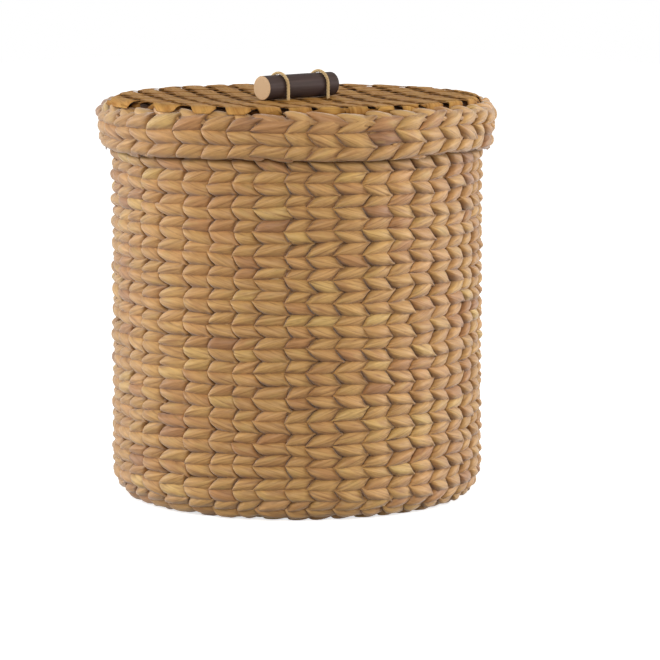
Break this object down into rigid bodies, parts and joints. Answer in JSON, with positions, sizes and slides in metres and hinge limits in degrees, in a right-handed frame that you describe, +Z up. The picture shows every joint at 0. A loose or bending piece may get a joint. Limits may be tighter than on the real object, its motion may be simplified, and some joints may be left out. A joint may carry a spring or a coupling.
{
  "type": "laundry basket",
  "caption": "Round twined laundry basket with a straight wall, a rounded bottom edge and a lift-off cap lid, carried by a dowel handle held in two twine loops.",
  "frame": {"origin": "middle of the underside, on the surface that the basket stands on", "axes": "+Z up along the basket's axis, +X along the handle's dowel"},
  "size_m": [0.4114, 0.4114, 0.4397],
  "materials": {
    "hyacinth": "matt dried plant fibre",
    "inner_hyacinth": "matt dried plant fibre",
    "stake_cane": "raw cane",
    "stained_wood": "satin stain, raw ends",
    "twine": "matt straw twine"
  },
  "bodies": {
    "basket": {"base_under_weave": "hyacinth", "base_cross": "stake_cane", "base_floor_weave": "inner_hyacinth", "stake_cage": "stake_cane", "turn_course_1_front": "hyacinth", "turn_course_1_back": "inner_hyacinth", "turn_course_2_front": "hyacinth", "turn_course_2_back": "inner_hyacinth", "wall_course_01_front": "hyacinth", "wall_course_01_back": "inner_hyacinth", "wall_course_02_front": "hyacinth", "wall_course_02_back": "inner_hyacinth", "wall_course_03_front": "hyacinth", "wall_course_03_back": "inner_hyacinth", "wall_course_04_front": "hyacinth", "wall_course_04_back": "inner_hyacinth", "wall_course_05_front": "hyacinth", "wall_course_05_back": "inner_hyacinth", "wall_course_06_front": "hyacinth", "wall_course_06_back": "inner_hyacinth", "wall_course_07_front": "hyacinth", "wall_course_07_back": "inner_hyacinth", "wall_course_08_front": "hyacinth", "wall_course_08_back": "inner_hyacinth", "wall_course_09_front": "hyacinth", "wall_course_09_back": "inner_hyacinth", "wall_course_10_front": "hyacinth", "wall_course_10_back": "inner_hyacinth", "wall_course_11_front": "hyacinth", "wall_course_11_back": "inner_hyacinth", "wall_course_12_front": "hyacinth", "wall_course_12_back": "inner_hyacinth", "wall_course_13_front": "hyacinth", "wall_course_13_back": "inner_hyacinth", "wall_course_14_front": "hyacinth", "wall_course_14_back": "inner_hyacinth", "wall_course_15_front": "hyacinth", "wall_course_15_back": "inner_hyacinth", "rim_border": "hyacinth"},
    "lid": {"lid_panel": "hyacinth", "lid_course_lower": "hyacinth", "lid_course_upper": "hyacinth", "lid_course_shoulder": "hyacinth", "lid_course_back": "inner_hyacinth", "handle_loop_1": "twine", "handle_loop_2": "twine"},
    "dowel": {"handle_dowel": "stained_wood"}
  },
  "joints": [
    {"name": "lid_lift", "type": "slide", "parent": "basket", "child": "lid", "axis": [0, 0, 1], "range_m": [0, 0.12]},
    {"name": "dowel_turn", "type": "hinge", "parent": "lid", "child": "dowel", "pos_m": [0, 0, 0.42371], "axis": [1, 0, 0], "continuous": true}
  ]
}
